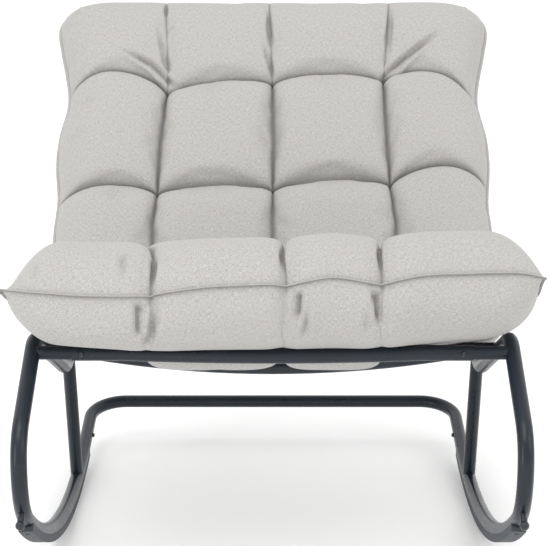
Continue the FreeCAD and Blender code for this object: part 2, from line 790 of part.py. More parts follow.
def crown_row(crown, channel, drop, share=1.0):
    return (half_width, dip + (crown - dip) * share, tuft + (channel - tuft) * share, drop, base)


def near_row(crown, channel, drop, belly_share):
    share = size("near_crown_share")
    return (near_half, crown * share, channel * share, drop * belly_share, base * belly_share)


tuft_row = (drawn, dip, tuft, base, base * size("tuft_base_share"))
thin_row = (drawn, size("cushion_edge"), thin_channel, size("cushion_edge"), thin_channel)
fold_row = (drawn, dip * size("fold_dip_share"), tuft, base * size("fold_belly_share"),
            base * size("fold_base_share"))
front_form = (size("cushion_front_crown"), size("cushion_front_channel"), size("cushion_front_belly"))
seat_form = (size("cushion_seat_crown"), size("cushion_channel"), belly)
back_form = (size("cushion_crown"), size("cushion_channel"), belly)
shoulder_place = size("cushion_shoulder_place")
shoulder_share = size("cushion_shoulder_share")
fold_place = size("fold_shoulder_place")
fold_share = size("fold_shoulder_share")

rows = int(size("seat_rows"))
row_pitch = seat_length / rows
sections = [(seat_front, seat_up, thin_row),
            (seat_front + seat_way * size("cushion_edge_run"), seat_up,
             near_row(*front_form, size("near_belly_share")))]
row_lines = [0]


def add_seat(row, spot, form, share):
    point = seat_front + seat_way * (row + (spot + 1) / 2) * row_pitch
    sections.append((point, seat_up, crown_row(*form, share)))


for row in range(rows):
    form = front_form if row == 0 else seat_form
    if row > 0:
        add_seat(row, -shoulder_place, form, shoulder_share)
    add_seat(row, 0, form, 1.0)
    if row < rows - 1:
        add_seat(row, shoulder_place, form, shoulder_share)
        row_lines.append(len(sections))
        sections.append((seat_front + seat_way * (row + 1) * row_pitch, seat_up, tuft_row))
row_lines.append(len(sections))
sections.append((fold, fold_up, fold_row))

back_length = (corner_reach + size("upright_straight") + size("hoop_reach")
               - seam_height / math.tan(half_fold) + size("cushion_top_overhang"))
back_rows = [size("back_first_row"), size("back_second_row")]
back_rows.append(back_length - sum(back_rows))
climb = 0


def add_back(start, pitch, spot, share):
    point = fold + back_way * (start + pitch * (spot + 1) / 2)
    sections.append((point, back_up, crown_row(*back_form, share)))


for number, pitch in enumerate(back_rows):
    low_spot = (fold_place, fold_share) if number == 0 else (shoulder_place, shoulder_share)
    add_back(climb, pitch, -low_spot[0], low_spot[1])
    add_back(climb, pitch, 0, 1.0)
    if number < len(back_rows) - 1:
        add_back(climb, pitch, shoulder_place, shoulder_share)
        row_lines.append(len(sections))
        sections.append((fold + back_way * (climb + pitch), back_up, tuft_row))
    climb += pitch
sections.append((fold + back_way * (climb - size("cushion_edge_run")), back_up,
                 near_row(*back_form, size("head_belly_share"))))
row_lines.append(len(sections))
sections.append((fold + back_way * climb, back_up, thin_row))
outlines = [cushion_section(point, normal, *form) for point, normal, form in sections]
cushion = doc.addObject("Part::Feature", "tufted_cushion")
cells = [Part.Face(outlines[0]), Part.Face(outlines[-1])]
for start, end in zip(row_lines, row_lines[1:]):
    cells += Part.makeLoft(outlines[start:end + 1], False, False).Faces
skin = Part.makeShell(cells)
skin.sewShape()
cushion.Shape = Part.makeSolid(skin.Shells[0])
if not cushion.Shape.isValid() or not cushion.Shape.isClosed():
    raise RuntimeError("cushion is not a closed solid")
keep(cushion, "tufted_cushion")

doc.recompute()
for item in doc.Objects:
    if "Invalid" in item.State or "Error" in item.State:
        raise RuntimeError("failed object: " + item.Name)
for name, item in nodes:
    if item.Shape.isNull() or not item.Shape.isValid():
        raise RuntimeError("bad shape: " + name)

os.makedirs("parts", exist_ok=True)
for name, item in nodes:
    item.Shape.exportStep("parts/%s.step" % name)
    print(name, len(item.Shape.Solids), round(item.Shape.Volume))
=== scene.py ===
import bpy
import json
import math
import numpy as np
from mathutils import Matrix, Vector
from mathutils.bvhtree import BVHTree


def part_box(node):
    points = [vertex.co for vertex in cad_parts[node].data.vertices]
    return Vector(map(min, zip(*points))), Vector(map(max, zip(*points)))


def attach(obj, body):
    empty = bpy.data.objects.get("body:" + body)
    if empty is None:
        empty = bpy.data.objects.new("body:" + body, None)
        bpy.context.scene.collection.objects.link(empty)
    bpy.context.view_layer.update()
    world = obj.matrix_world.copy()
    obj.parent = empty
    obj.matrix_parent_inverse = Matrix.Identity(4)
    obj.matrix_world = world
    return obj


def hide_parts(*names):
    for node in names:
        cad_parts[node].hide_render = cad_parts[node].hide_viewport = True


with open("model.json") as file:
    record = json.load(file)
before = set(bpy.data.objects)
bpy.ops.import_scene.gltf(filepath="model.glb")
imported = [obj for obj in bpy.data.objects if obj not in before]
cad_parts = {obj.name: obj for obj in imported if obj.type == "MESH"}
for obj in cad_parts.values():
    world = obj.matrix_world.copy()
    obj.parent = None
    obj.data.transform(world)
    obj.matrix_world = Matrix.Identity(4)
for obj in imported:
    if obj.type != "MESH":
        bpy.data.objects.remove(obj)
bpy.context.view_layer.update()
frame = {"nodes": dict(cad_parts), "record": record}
print("frame loaded,", len(frame["nodes"]), "nodes")


def pickOnly(piece):
    bpy.ops.object.select_all(action="DESELECT")
    piece.select_set(True)
    bpy.context.view_layer.objects.active = piece


# camera, at the height and distance where the rockers and rails line up
view = {
    "place": (0.0035, -2.5731, 0.9206),
    "pitch": 78.6,
    "lens": 110.4,
    "sensor": 36.0,
}
bpy.ops.object.select_all(action="DESELECT")
bpy.ops.object.camera_add(location=view["place"], rotation=(math.radians(view["pitch"]), 0, 0))
camera = bpy.context.object
camera.data.lens = view["lens"]
camera.data.sensor_width = view["sensor"]
camera.data.sensor_fit = "HORIZONTAL"
bpy.context.scene.camera = camera


# material helpers
def newMaterial(name):
    material = bpy.data.materials.new(name)
    material.use_nodes = True
    nodes = material.node_tree.nodes
    shader = nodes["Principled BSDF"]
    return material, nodes, material.node_tree.links, shader


def noiseNode(nodes, links, source, scale, detail, rough=0.5):
    noise = nodes.new("ShaderNodeTexNoise")
    noise.inputs["Scale"].default_value = scale
    noise.inputs["Detail"].default_value = detail
    noise.inputs["Roughness"].default_value = rough
    links.new(source, noise.inputs["Vector"])
    return noise


def rampNode(nodes, links, source, stops):
    ramp = nodes.new("ShaderNodeValToRGB")
    while len(ramp.color_ramp.elements) < len(stops):
        ramp.color_ramp.elements.new(0.5)
    for element, (place, colour) in zip(ramp.color_ramp.elements, stops):
        element.position = place
        element.color = (*colour, 1)
    links.new(source, ramp.inputs["Fac"])
    return ramp


def rangeNode(nodes, links, source, low, high, toLow, toHigh):
    spread = nodes.new("ShaderNodeMapRange")
    spread.inputs["From Min"].default_value = low
    spread.inputs["From Max"].default_value = high
    spread.inputs["To Min"].default_value = toLow
    spread.inputs["To Max"].default_value = toHigh
    links.new(source, spread.inputs["Value"])
    return spread


def bumpNode(nodes, links, source, strength, distance, before=None):
    bump = nodes.new("ShaderNodeBump")
    bump.inputs["Strength"].default_value = strength
    bump.inputs["Distance"].default_value = distance
    links.new(source, bump.inputs["Height"])
    if before:
        links.new(before.outputs["Normal"], bump.inputs["Normal"])
    return bump


# satin powder coat of the tubes: fine peel, faint cloudy tone
coat = {
    "dark": (0.0058, 0.0104, 0.0165),
    "light": (0.0092, 0.0158, 0.0245),
    "roughLow": 0.25,
    "roughHigh": 0.34,
    "cloudScale": 14,
    "peelScale": 900.0,
    "peelStrength": 0.35,
    "peelDepth": 0.00012,
    "specular": 0.36,
}


def powderCoat():
    material, nodes, links, shader = newMaterial("slatePowderCoat")
    place = nodes.new("ShaderNodeTexCoord").outputs["Object"]
    cloud = noiseNode(nodes, links, place, coat["cloudScale"], 4)
    tone = rampNode(nodes, links, cloud.outputs["Fac"], [(0.3, coat["dark"]), (0.7, coat["light"])])
    links.new(tone.outputs["Color"], shader.inputs["Base Color"])
    rough = rangeNode(nodes, links, cloud.outputs["Fac"], 0.3, 0.7, coat["roughLow"], coat["roughHigh"])
    links.new(rough.outputs["Result"], shader.inputs["Roughness"])
    peel = noiseNode(nodes, links, place, coat["peelScale"], 2)
    bump = bumpNode(nodes, links, peel.outputs["Fac"], coat["peelStrength"], coat["peelDepth"])
    links.new(bump.outputs["Normal"], shader.inputs["Normal"])
    shader.inputs["Specular IOR Level"].default_value = coat["specular"]
    return material


# moulded rubber and nylon, black bolts, plated steel: dark and light tone, least and most roughness, grain
trim = {
    "rubber": ((0.030, 0.036, 0.044), (0.046, 0.054, 0.064), 0.55, 0.70, 500.0),
    "bumper": ((0.009, 0.012, 0.017), (0.016, 0.021, 0.028), 0.26, 0.38, 420.0),
    "nylon": ((0.010, 0.010, 0.011), (0.017, 0.017, 0.018), 0.42, 0.55, 420.0),
    "bolt": ((0.030, 0.031, 0.034), (0.055, 0.056, 0.060), 0.18, 0.30, 700.0),
    "zinc": ((0.42, 0.43, 0.44), (0.60, 0.61, 0.63), 0.22, 0.38, 260.0),
}
trimBump = {"strength": 0.3, "distance": 0.0001}


def trimMaterial(name, key, metal):
    dark, light, roughLow, roughHigh, scale = trim[key]
    material, nodes, links, shader = newMaterial(name)
    place = nodes.new("ShaderNodeTexCoord").outputs["Object"]
    grain = noiseNode(nodes, links, place, scale, 3)
    tone = rampNode(nodes, links, grain.outputs["Fac"], [(0.25, dark), (0.75, light)])
    links.new(tone.outputs["Color"], shader.inputs["Base Color"])
    rough = rangeNode(nodes, links, grain.outputs["Fac"], 0.3, 0.7, roughLow, roughHigh)
    links.new(rough.outputs["Result"], shader.inputs["Roughness"])
    bump = bumpNode(nodes, links, grain.outputs["Fac"], trimBump["strength"], trimBump["distance"])
    links.new(bump.outputs["Normal"], shader.inputs["Normal"])
    shader.inputs["Metallic"].default_value = metal
    return material


coatMaterial = powderCoat()
rubberMaterial = trimMaterial("ribRubber", "rubber", 0)
bumperMaterial = trimMaterial("bumperRubber", "bumper", 0)
nylonMaterial = trimMaterial("plugNylon", "nylon", 0)
boltMaterial = trimMaterial("blackBoltSteel", "bolt", 0.6)
zincMaterial = trimMaterial("platedSteel", "zinc", 1)
slotMaterials = {
    "frame_coat": coatMaterial,
    "black_bolt": boltMaterial,
    "zinc_steel": zincMaterial,
    "nylon_plug": nylonMaterial,
    "rubber_strip": rubberMaterial,
}
for part in frame["record"]["subparts"]:
    node = frame["nodes"][part["node"]]
    if part["material_slot"] in slotMaterials:
        finish = bumperMaterial if "bumper" in part["node"] else slotMaterials[part["material_slot"]]
        node.data.materials.clear()
        node.data.materials.append(finish)
print("frame finished in", len(slotMaterials), "materials")


# cushion: all lengths in metres, t runs from the front seam over the fold to the top seam
cushion = {
    "front": (-0.38146, 0.45628),
    "seatAngle": -21.4,
    "backAngle": 52.1,
    "seatLength": 0.4682,
    "backLength": 0.638,
    "perColumn": 30,
    "perBand": (30, 24, 22, 38, 34, 34),
    # share of even and of crowded spacing of the grid lines
    "gridSpread": (0.24, 0.76),
    "foldSoft": 0.012,
    # rounding of the rim: side and ends of the upper cover, side and ends of the lower one
    "overRim": (0.076, 0.075),
    "underRim": (0.072, 0.050),
    # how pointed the left and right front corners are, 0.5 is round, and how far back that reaches
    "overPoint": (1.45, 0.70),
    "underPoint": (1.10, 0.80),
    "pointRun": 0.075,
    # half width along t, pulled in at the tuft rows
    "halfWidth": [(0, 0.362), (0.03, 0.361), (0.08, 0.364), (0.156, 0.352), (0.235, 0.366), (0.3125, 0.350),
                  (0.40, 0.358), (0.4672, 0.350), (0.58, 0.357), (0.66, 0.359), (0.71, 0.353), (0.78, 0.362),
                  (0.84, 0.360), (0.905, 0.344), (0.96, 0.354), (1.00, 0.363), (1.03, 0.368), (1.06, 0.375),
                  (1.078, 0.374), (1.092, 0.354), (1.1062, 0.325)],
    # column creases along t
    "columns": [(0, -0.162, 0.019, 0.146), (0.02, -0.160, 0.0125, 0.1445), (0.05, -0.165, 0.0165, 0.147),
                (0.085, -0.178, 0.015, 0.150),
                (0.156, -0.180, 0.012, 0.156), (0.3125, -0.185, 0.005, 0.172),
                (0.4672, -0.190, 0, 0.190), (0.64, -0.195, 0, 0.200), (0.7137, -0.189, 0, 0.193),
                (0.80, -0.187, 0.001, 0.190), (0.9137, -0.177, -0.001, 0.187),
                (1.1062, -0.187, -0.007, 0.203)],
    # tuft rows: t at the left rim, the three column creases and the right rim, and the arch of each crease
    "rows": [
        {"t": (0.150, 0.150, 0.150, 0.150, 0.150), "arch": (0.004, 0.004, 0.004, 0.004)},
        {"t": (0.306, 0.306, 0.306, 0.306, 0.306), "arch": (0.004, 0.004, 0.004, 0.004)},
        {"t": (0.4672, 0.4672, 0.4672, 0.4672, 0.4672), "arch": (0, 0, 0, 0)},
        {"t": (0.698, 0.7045, 0.712, 0.7215, 0.733), "arch": (0.018, 0.012, 0.013, 0.028)},
        {"t": (0.912, 0.8972, 0.9174, 0.9214, 0.892), "arch": (0.036, 0.014, 0.016, 0.032)},
    ],
    # heights above the seam for each band of cells: crown, and the creases between columns
    "overCrown": (0.080, 0.064, 0.056, 0.068, 0.068, 0.062),
    "overColumn": (0.060, 0.042, 0.034, 0.044, 0.042, 0.057),
    # heights of the creases between bands, and of the tufts on them
    "overRow": (0.046, 0.036, 0.012, 0.040, 0.038),
    "overTuft": (0.034, 0.022, 0.010, 0.026, 0.026),
    "underCrown": (0.069, 0.055, 0.052, 0.054, 0.054, 0.042),
    "underColumn": (0.067, 0.043, 0.040, 0.042, 0.042, 0.034),
    "underRow": (0.052, 0.043, 0.026, 0.043, 0.041),
    "underTuft": (0.042, 0.035, 0.022, 0.034, 0.033),
    # how square the cells are: power and root of the rise from crease to crown
    "columnSwell": (9.0, 2.6),
    "rowSwell": (8.0, 2.5),
    # height in the fold between seat and back, and how fast it grows away from it
    "foldHeight": 0.016,
    "foldSlope": 1.15,
    # underside hanging between the crossbar and the bowed tube
    "bagDepth": 0.023,
    "bagMiddle": 0.147,
    "bagReach": 0.062,
    "bagSwell": (6.5, 2.4),
    # rise of the front seam across the width
    "seamLift": [(-0.37, 0.000), (-0.33, -0.003), (-0.26, -0.009), (-0.18, -0.010), (-0.09, 0.003),
                 (0, 0.007), (0.022, 0.005), (0.08, 0.018), (0.143, 0.006), (0.20, 0.019), (0.30, 0.022),
                 (0.34, 0.022), (0.37, 0.012)],
    "seamLiftRun": 0.07,
    "pinch": 0.010,
    "pinchWidth": 0.014,
    "pinchRun": 0.05,
    # about half a cell across and along, and how far the painted shade along a crease reaches
    "cellReach": (0.09, 0.1),
    "creaseShadeReach": 0.0013,
    "frontCreaseShadeReach": 0.0024,
    # share by which the outer columns hang less on the underside, along t
    "underOuter": [(0.0, 0.10), (0.06, 0.10), (0.15, 0.42), (1.2, 0.42)],
    # the lower cover's cloth lies this far beside the upper one's
    "underCloth": 2.0,
    "fill": 0.75,
}


def smoothLine(points, places):
    knots = np.array([p[0] for p in points], float)
    values = np.array([p[1] for p in points], float)
    samples, reach, width = 800, 40, 14
    fine = np.linspace(knots[0], knots[-1], samples)
    line = np.interp(fine, knots, values)
    kernel = np.exp(-0.5 * (np.arange(-reach, reach + 1) / width) ** 2)
    soft = np.convolve(np.pad(line, reach, mode="edge"), kernel / kernel.sum(), mode="valid")
    return np.interp(places, fine, soft)


def cushionSpine(t):
    total = cushion["seatLength"] + cushion["backLength"]
    margin, samples = 0.1, 3000
    fine = np.linspace(-margin, total + margin, samples)[:, None]
    seatTurn = math.radians(cushion["seatAngle"])
    backTurn = math.radians(cushion["backAngle"])
    seatWay = np.array([math.cos(seatTurn), math.sin(seatTurn)])
    backWay = np.array([math.cos(backTurn), math.sin(backTurn)])
    start = np.array(cushion["front"])
    fold = start + seatWay * cushion["seatLength"]
    line = np.where(fine < cushion["seatLength"], start + fine * seatWay,
                    fold + (fine - cushion["seatLength"]) * backWay)
    step = float(fine[1, 0] - fine[0, 0])
    reach = int(4 * cushion["foldSoft"] / step)
    kernel = np.exp(-0.5 * (np.arange(-reach, reach + 1) * step / cushion["foldSoft"]) ** 2)
    soft = line.copy()
    for axis in range(2):
        soft[reach:-reach, axis] = np.convolve(line[:, axis], kernel / kernel.sum(), mode="valid")
    slope = np.gradient(soft, step, axis=0)
    slope /= np.linalg.norm(slope, axis=1)[:, None]
    places = np.stack([np.interp(t, fine[:, 0], soft[:, axis]) for axis in (0, 1)], axis=-1)
    facing = np.stack([np.interp(t, fine[:, 0], side) for side in (-slope[:, 1], slope[:, 0])], axis=-1)
    return places, facing


# spots from -1 to 1, closer together towards the creases
def spots(count):
    x = np.linspace(-1, 1, count + 1)
    even, crowded = cushion["gridSpread"]
    return even * x + crowded * np.sin(0.5 * np.pi * x)


# a grid whose lines follow the creases: place in the cell (a, b), column, band, and u, t over the cloth
def clothGrid():
    total = cushion["seatLength"] + cushion["backLength"]
    columnSpots = spots(cushion["perColumn"])
    cross = [(k, a) for k in range(4) for a in columnSpots[(1 if k else 0):]]
    lengthwise = []
    for k, count in enumerate(cushion["perBand"]):
        lengthwise += [(k, b) for b in spots(count)[(1 if k else 0):]]
    shape = (len(lengthwise), len(cross))
    column = np.tile([c[0] for c in cross], (shape[0], 1))
    a = np.tile([c[1] for c in cross], (shape[0], 1))
    band = np.tile([[r[0]] for r in lengthwise], (1, shape[1]))
    b = np.tile([[r[1]] for r in lengthwise], (1, shape[1]))
    creases = [np.zeros(shape)]
    for row in cushion["rows"]:
        low = np.choose(column, row["t"][:4])
        high = np.choose(column, row["t"][1:])
        creases.append(low + (high - low) * (a + 1) / 2 + np.choose(column, row["arch"]) * (1 - a ** 2))
    creases.append(np.full(shape, total))
    near = np.choose(band, creases[:-1])
    far = np.choose(band, creases[1:])
    t = near + (far - near) * (b + 1) / 2
    half = smoothLine(cushion["halfWidth"], t)
    knots = [c[0] for c in cushion["columns"]]
    walls = [-half] + [np.interp(t, knots, [c[k] for c in cushion["columns"]]) for k in (1, 2, 3)] + [half]
    left = np.choose(column, walls[:4])
    right = np.choose(column, walls[1:])
    u = left + (right - left) * (a + 1) / 2
    return {"a": a, "b": b, "column": column, "band": band, "u": u, "t": t, "half": half}


def swell(place, squareness):
    power, root = squareness
    return np.clip(1 - np.abs(place) ** power, 0, 1) ** (1 / root)


def padHeight(grid, rim, point, crown, columnLine, rowLine, tuft):
    total = cushion["seatLength"] + cushion["backLength"]
    a, b, column, band = grid["a"], grid["b"], grid["column"], grid["band"]
    last = len(crown) - 1
    # the rim cells have no crease on their outer side
    a = np.where(((column == 0) & (a < 0)) | ((column == 3) & (a > 0)), 0, a)
    b = np.where(((band == 0) & (b < 0)) | ((band == last) & (b > 0)), 0, b)
    nearRow = np.choose(band, (rowLine[0],) + tuple(rowLine))
    farRow = np.choose(band, tuple(rowLine) + (rowLine[-1],))
    nearTuft = np.choose(band, (tuft[0],) + tuple(tuft))
    farTuft = np.choose(band, tuple(tuft) + (tuft[-1],))
    side = np.choose(band, columnLine)
    up = (1 + b) / 2
    riseA = swell(a, cushion["columnSwell"])
    riseB = swell(b, cushion["rowSwell"])
    tufts = nearTuft * (1 - up) + farTuft * up
    rows = nearRow * (1 - up) + farRow * up
    frameLine = tufts + (rows - tufts) * riseA + (side - tufts) * riseB - (rows - tufts) * riseA * riseB
    height = frameLine + (np.choose(band, crown) - side) * riseA * riseB
    rimU = np.clip((grid["half"] - np.abs(grid["u"])) / rim[0], 0, 1)
    rimT = np.clip(np.minimum(grid["t"], total - grid["t"]) / rim[1], 0, 1)
    pointed = np.where(grid["u"] < 0, *point) - 0.5
    rounded = (1 - (1 - rimU) ** 2) ** (0.5 + pointed * np.exp(-(grid["t"] / cushion["pointRun"]) ** 2))
    return height * rounded * np.sqrt(1 - (1 - rimT) ** 2)


def cushionLayers(grid):
    u, t = grid["u"], grid["t"]
    pulled = np.zeros(u.shape)
    for k in (1, 2, 3):
        pulled += np.exp(-((u - cushion["columns"][0][k]) / cushion["pinchWidth"]) ** 2)
    middle, facing = cushionSpine(t + cushion["pinch"] * pulled * np.exp(-(t / cushion["pinchRun"]) ** 2))
    lift = smoothLine(cushion["seamLift"], u) * np.exp(-(t / cushion["seamLiftRun"]) ** 2)
    over = padHeight(grid, cushion["overRim"], cushion["overPoint"], cushion["overCrown"],
                     cushion["overColumn"], cushion["overRow"], cushion["overTuft"])
    fromFold = np.abs(t - cushion["seatLength"])
    over = np.minimum(over, cushion["foldHeight"] + fromFold * cushion["foldSlope"])
    under = padHeight(grid, cushion["underRim"], cushion["underPoint"], cushion["underCrown"],
                      cushion["underColumn"], cushion["underRow"], cushion["underTuft"])
    inBag = np.clip(1 - np.abs(t - cushion["bagMiddle"]) / cushion["bagReach"], 0, 1)
    middleColumns = (grid["column"] == 1) | (grid["column"] == 2)
    outerColumns = [grid["column"] == 0, grid["column"] == 3]
    outward = np.select(outerColumns, [(1 - grid["a"]) / 2, (1 + grid["a"]) / 2], 0)
    ease = smoothLine(cushion["underOuter"], t)
    under = under * (1 - ease * np.sin(outward * np.pi / 2))
    bag = cushion["bagDepth"] * swell(grid["a"], cushion["bagSwell"]) * np.sin(inBag * np.pi / 2) ** 2
    under = under + np.where(middleColumns, bag, 0)
    layers = []
    for height, sign in ((over, 1), (under, -1)):
        flat = middle + facing * (lift + sign * height)[..., None]
        layers.append(np.stack([u, flat[..., 0], flat[..., 1]], axis=-1))
    return layers


# painted shade in the creases: nearness to a crease, 1 on it
def creaseShadeNearness(grid):
    a, b, column, band = grid["a"], grid["b"], grid["column"], grid["band"]
    last = len(cushion["perBand"]) - 1
    fromColumn = (1 - np.abs(a)) * cushion["cellReach"][0]
    fromColumn = np.where(((column == 0) & (a < 0)) | ((column == 3) & (a > 0)), 1, fromColumn)
    fromRow = (1 - np.abs(b)) * cushion["cellReach"][1]
    fromRow = np.where(((band == 0) & (b < 0)) | ((band == last) & (b > 0)), 1, fromRow)
    reach = np.where(band == 0, cushion["frontCreaseShadeReach"], cushion["creaseShadeReach"])
    return np.exp(-(np.minimum(fromColumn, fromRow) / reach) ** 2)


# lengths over the cloth from its front edge and from its middle line
def clothLengths(layer):
    along = np.linalg.norm(np.diff(layer, axis=0), axis=2)
    along = np.concatenate([np.zeros((1, layer.shape[1])), np.cumsum(along, axis=0)])
    across = np.linalg.norm(np.diff(layer, axis=1), axis=2)
    across = np.concatenate([np.zeros((layer.shape[0], 1)), np.cumsum(across, axis=1)], axis=1)
    across -= across[:, layer.shape[1] // 2][:, None]
    return np.stack([across, along], axis=-1)


def weldedPad(layers, grid):
    u, t = grid["u"], grid["t"]
    rows, cols = u.shape
    topIndex = np.arange(rows * cols).reshape(rows, cols)
    lowIndex = topIndex.copy()
    inner = np.zeros(u.shape, bool)
    inner[1:-1, 1:-1] = True
    lowIndex[inner] = rows * cols + np.arange(inner.sum())
    points = np.concatenate([layers[0].reshape(-1, 3), layers[1][inner]])
    spread = np.stack([u, t], -1)
    flat = np.concatenate([spread.reshape(-1, 2), spread[inner]])
    faces = []
    for index, order in ((topIndex, (0, 1, 2, 3)), (lowIndex, (0, 3, 2, 1))):
        ring = (index[:-1, :-1], index[:-1, 1:], index[1:, 1:], index[1:, :-1])
        faces.append(np.stack([ring[k].ravel() for k in order], axis=1))
    mesh = bpy.data.meshes.new("tuftedCushion")
    mesh.from_pydata(points.tolist(), [], np.concatenate(faces).tolist())
    uvs = mesh.uv_layers.new(name="cloth")
    corners = np.zeros(len(mesh.loops), int)
    mesh.loops.foreach_get("vertex_index", corners)
    half = len(mesh.loops) // 2
    clothPlaces = np.zeros((len(mesh.loops), 2))
    covers = ((layers[0], topIndex, slice(0, half)), (layers[1], lowIndex, slice(half, None)))
    for layer, index, part in covers:
        lengths = np.zeros((len(points), 2))
        lengths[index.ravel()] = clothLengths(layer).reshape(-1, 2)
        clothPlaces[part] = lengths[corners[part]]
    clothPlaces[half:, 0] += cushion["underCloth"]
    uvs.data.foreach_set("uv", clothPlaces.ravel().astype(np.float32))
    onLower = np.arange(len(points)) >= rows * cols
    for name, values in (("across", flat[:, 0]), ("along", flat[:, 1]), ("lower", onLower)):
        store = mesh.attributes.new(name, "FLOAT", "POINT")
        store.data.foreach_set("value", values.astype(np.float32))
    # painted shade along the upper cover's creases, kept in the crease attribute; the lower cover gets none
    near = creaseShadeNearness(grid)
    paintedShade = mesh.attributes.new("crease", "FLOAT", "POINT")
    paintedShade.data.foreach_set("value", np.concatenate([near.ravel(), near[inner] * 0]).astype(np.float32))
    piece = bpy.data.objects.new("tuftedCushion", mesh)
    bpy.context.scene.collection.objects.link(piece)
    return piece, topIndex, lowIndex


def readPoints(mesh):
    flat = np.zeros(len(mesh.vertices) * 3)
    mesh.vertices.foreach_get("co", flat)
    return flat.reshape(-1, 3)


def writePoints(mesh, points):
    mesh.vertices.foreach_set("co", points.ravel())
    mesh.update()


# fibre filling that swells the cover, and how far a point of each cover may move
filling = {
    "quality": 5,
    "mass": 0.3,
    "tension": 18,
    "compression": 12,
    "shear": 6,
    "bending": 0.6,
    "pressure": 1.0,
    "growth": -0.012,
    "pin": 6,
    "frames": 20,
    "rimHold": 0.5,
    "underHold": 0.6,
    "cap": 0.006,
    "underCap": 0.002,
}


# held weight: full along creases, tufts and fold, part at the rim
def heldWeights(grid):
    a, b, column, band = grid["a"], grid["b"], grid["column"], grid["band"]
    last = len(cushion["perBand"]) - 1
    rimA = ((column == 0) & (a < 0)) | ((column == 3) & (a > 0))
    rimB = ((band == 0) & (b < 0)) | ((band == last) & (b > 0))
    edge = 0.999
    onColumn = (np.abs(a) > edge) & ~rimA
    onRow = (np.abs(b) > edge) & ~rimB
    rim = ((np.abs(a) > edge) & rimA) | ((np.abs(b) > edge) & rimB)
    weight = np.where(onColumn | onRow, 1.0, 0.0)
    return np.where(rim, filling["rimHold"], weight)


def inflate(piece, weights, caps):
    start = readPoints(piece.data)
    group = piece.vertex_groups.new(name="held")
    for level in np.unique(np.round(weights, 2)):
        if level > 0:
            members = [int(i) for i in np.nonzero(np.round(weights, 2) == level)[0]]
            group.add(members, float(level), "REPLACE")
    pickOnly(piece)
    bpy.ops.object.modifier_add(type="CLOTH")
    cloth = piece.modifiers[-1]
    settings = cloth.settings
    settings.quality = filling["quality"]
    settings.mass = filling["mass"]
    settings.tension_stiffness = filling["tension"]
    settings.compression_stiffness = filling["compression"]
    settings.shear_stiffness = filling["shear"]
    settings.bending_stiffness = filling["bending"]
    settings.use_pressure = True
    settings.uniform_pressure_force = filling["pressure"]
    settings.vertex_group_mass = "held"
    settings.pin_stiffness = filling["pin"]
    settings.shrink_min = filling["growth"]
    settings.effector_weights.gravity = 0
    cloth.point_cache.frame_start = 1
    cloth.point_cache.frame_end = filling["frames"]
    scene = bpy.context.scene
    for number in range(1, filling["frames"] + 1):
        scene.frame_set(number)
    pickOnly(piece)
    bpy.ops.object.modifier_apply(modifier=cloth.name)
    scene.frame_set(1)
    moved = readPoints(piece.data) - start
    length = np.linalg.norm(moved, axis=1)
    print("cloth moved", round(float(length.mean()) * 1000, 1), "mm on average,",
          round(float(length.max()) * 1000, 1), "at most")
    moved *= (np.minimum(length, caps) / np.maximum(length, 1e-9))[:, None]
    writePoints(piece.data, start + moved)


# how the cloth lies on the tubes
contact = {
    "gap": 0.0006,
    "tubeWide": 0.0215,  # a little less than a tube
    "near": 0.004,
    "lift": 1e-4,
    "square": 0.8,  # how squarely a point must face the tube
    "rounds": 5,
    "rings": 5,
    "ease": (0.4, 0.6),  # share of a point's own place and of its neighbours'
}


# outer faces of a tube, without its bore
def tubeSkin(name):
    mesh = frame["nodes"][name].data
    corners = [v.co.copy() for v in mesh.vertices]
    whole = BVHTree.FromPolygons(corners, [p.vertices[:] for p in mesh.polygons])
    outside = []
    for face in mesh.polygons:
        hit = whole.ray_cast(face.center + face.normal * contact["lift"], face.normal, contact["tubeWide"])
        if hit[0] is None:
            outside.append(face.vertices[:])
    low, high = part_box(name)
    skin = BVHTree.FromPolygons(corners, outside)
    return skin, np.array(low) - contact["near"], np.array(high) + contact["near"]


def pushOut(points, skins):
    pushed = np.zeros(len(points), bool)
    for tree, low, high in skins:
        near = np.all((points > low) & (points < high), axis=1)
        for index in np.nonzero(near)[0]:
            here = Vector(points[index])
            spot, face, number, gap = tree.find_nearest(here)
            inward = (here - spot).dot(face)
            square = abs(inward) > contact["square"] * gap - 1e-5
            if inward < contact["gap"] and gap < contact["tubeWide"] / 2 and square:
                points[index] = spot + face * contact["gap"]
                pushed[index] = True
    return pushed


# the cloth lies over the tubes: pushed out of them, then eased round each contact
def clearOfFrame(piece, names):
    mesh = piece.data
    points = readPoints(mesh)
    skins = [tubeSkin(name) for name in names]
    pairs = np.zeros(len(mesh.edges) * 2, int)
    mesh.edges.foreach_get("vertices", pairs)
    pairs = pairs.reshape(-1, 2)
    count = np.bincount(pairs.ravel(), minlength=len(points))[:, None]
    keep, follow = contact["ease"]
    for turn in range(contact["rounds"]):
        pushed = pushOut(points, skins)
        if turn == contact["rounds"] - 1:
            break
        around = pushed.copy()
        for ring in range(contact["rings"]):
            touched = around[pairs].any(axis=1)
            around[pairs[touched].ravel()] = True
        total = np.zeros(points.shape)
        np.add.at(total, pairs[:, 0], points[pairs[:, 1]])
        np.add.at(total, pairs[:, 1], points[pairs[:, 0]])
        points[around] = (keep * points + follow * total / count)[around]
    print("cloth eased over the tubes at", int(pushed.sum()), "points")
    writePoints(mesh, points)


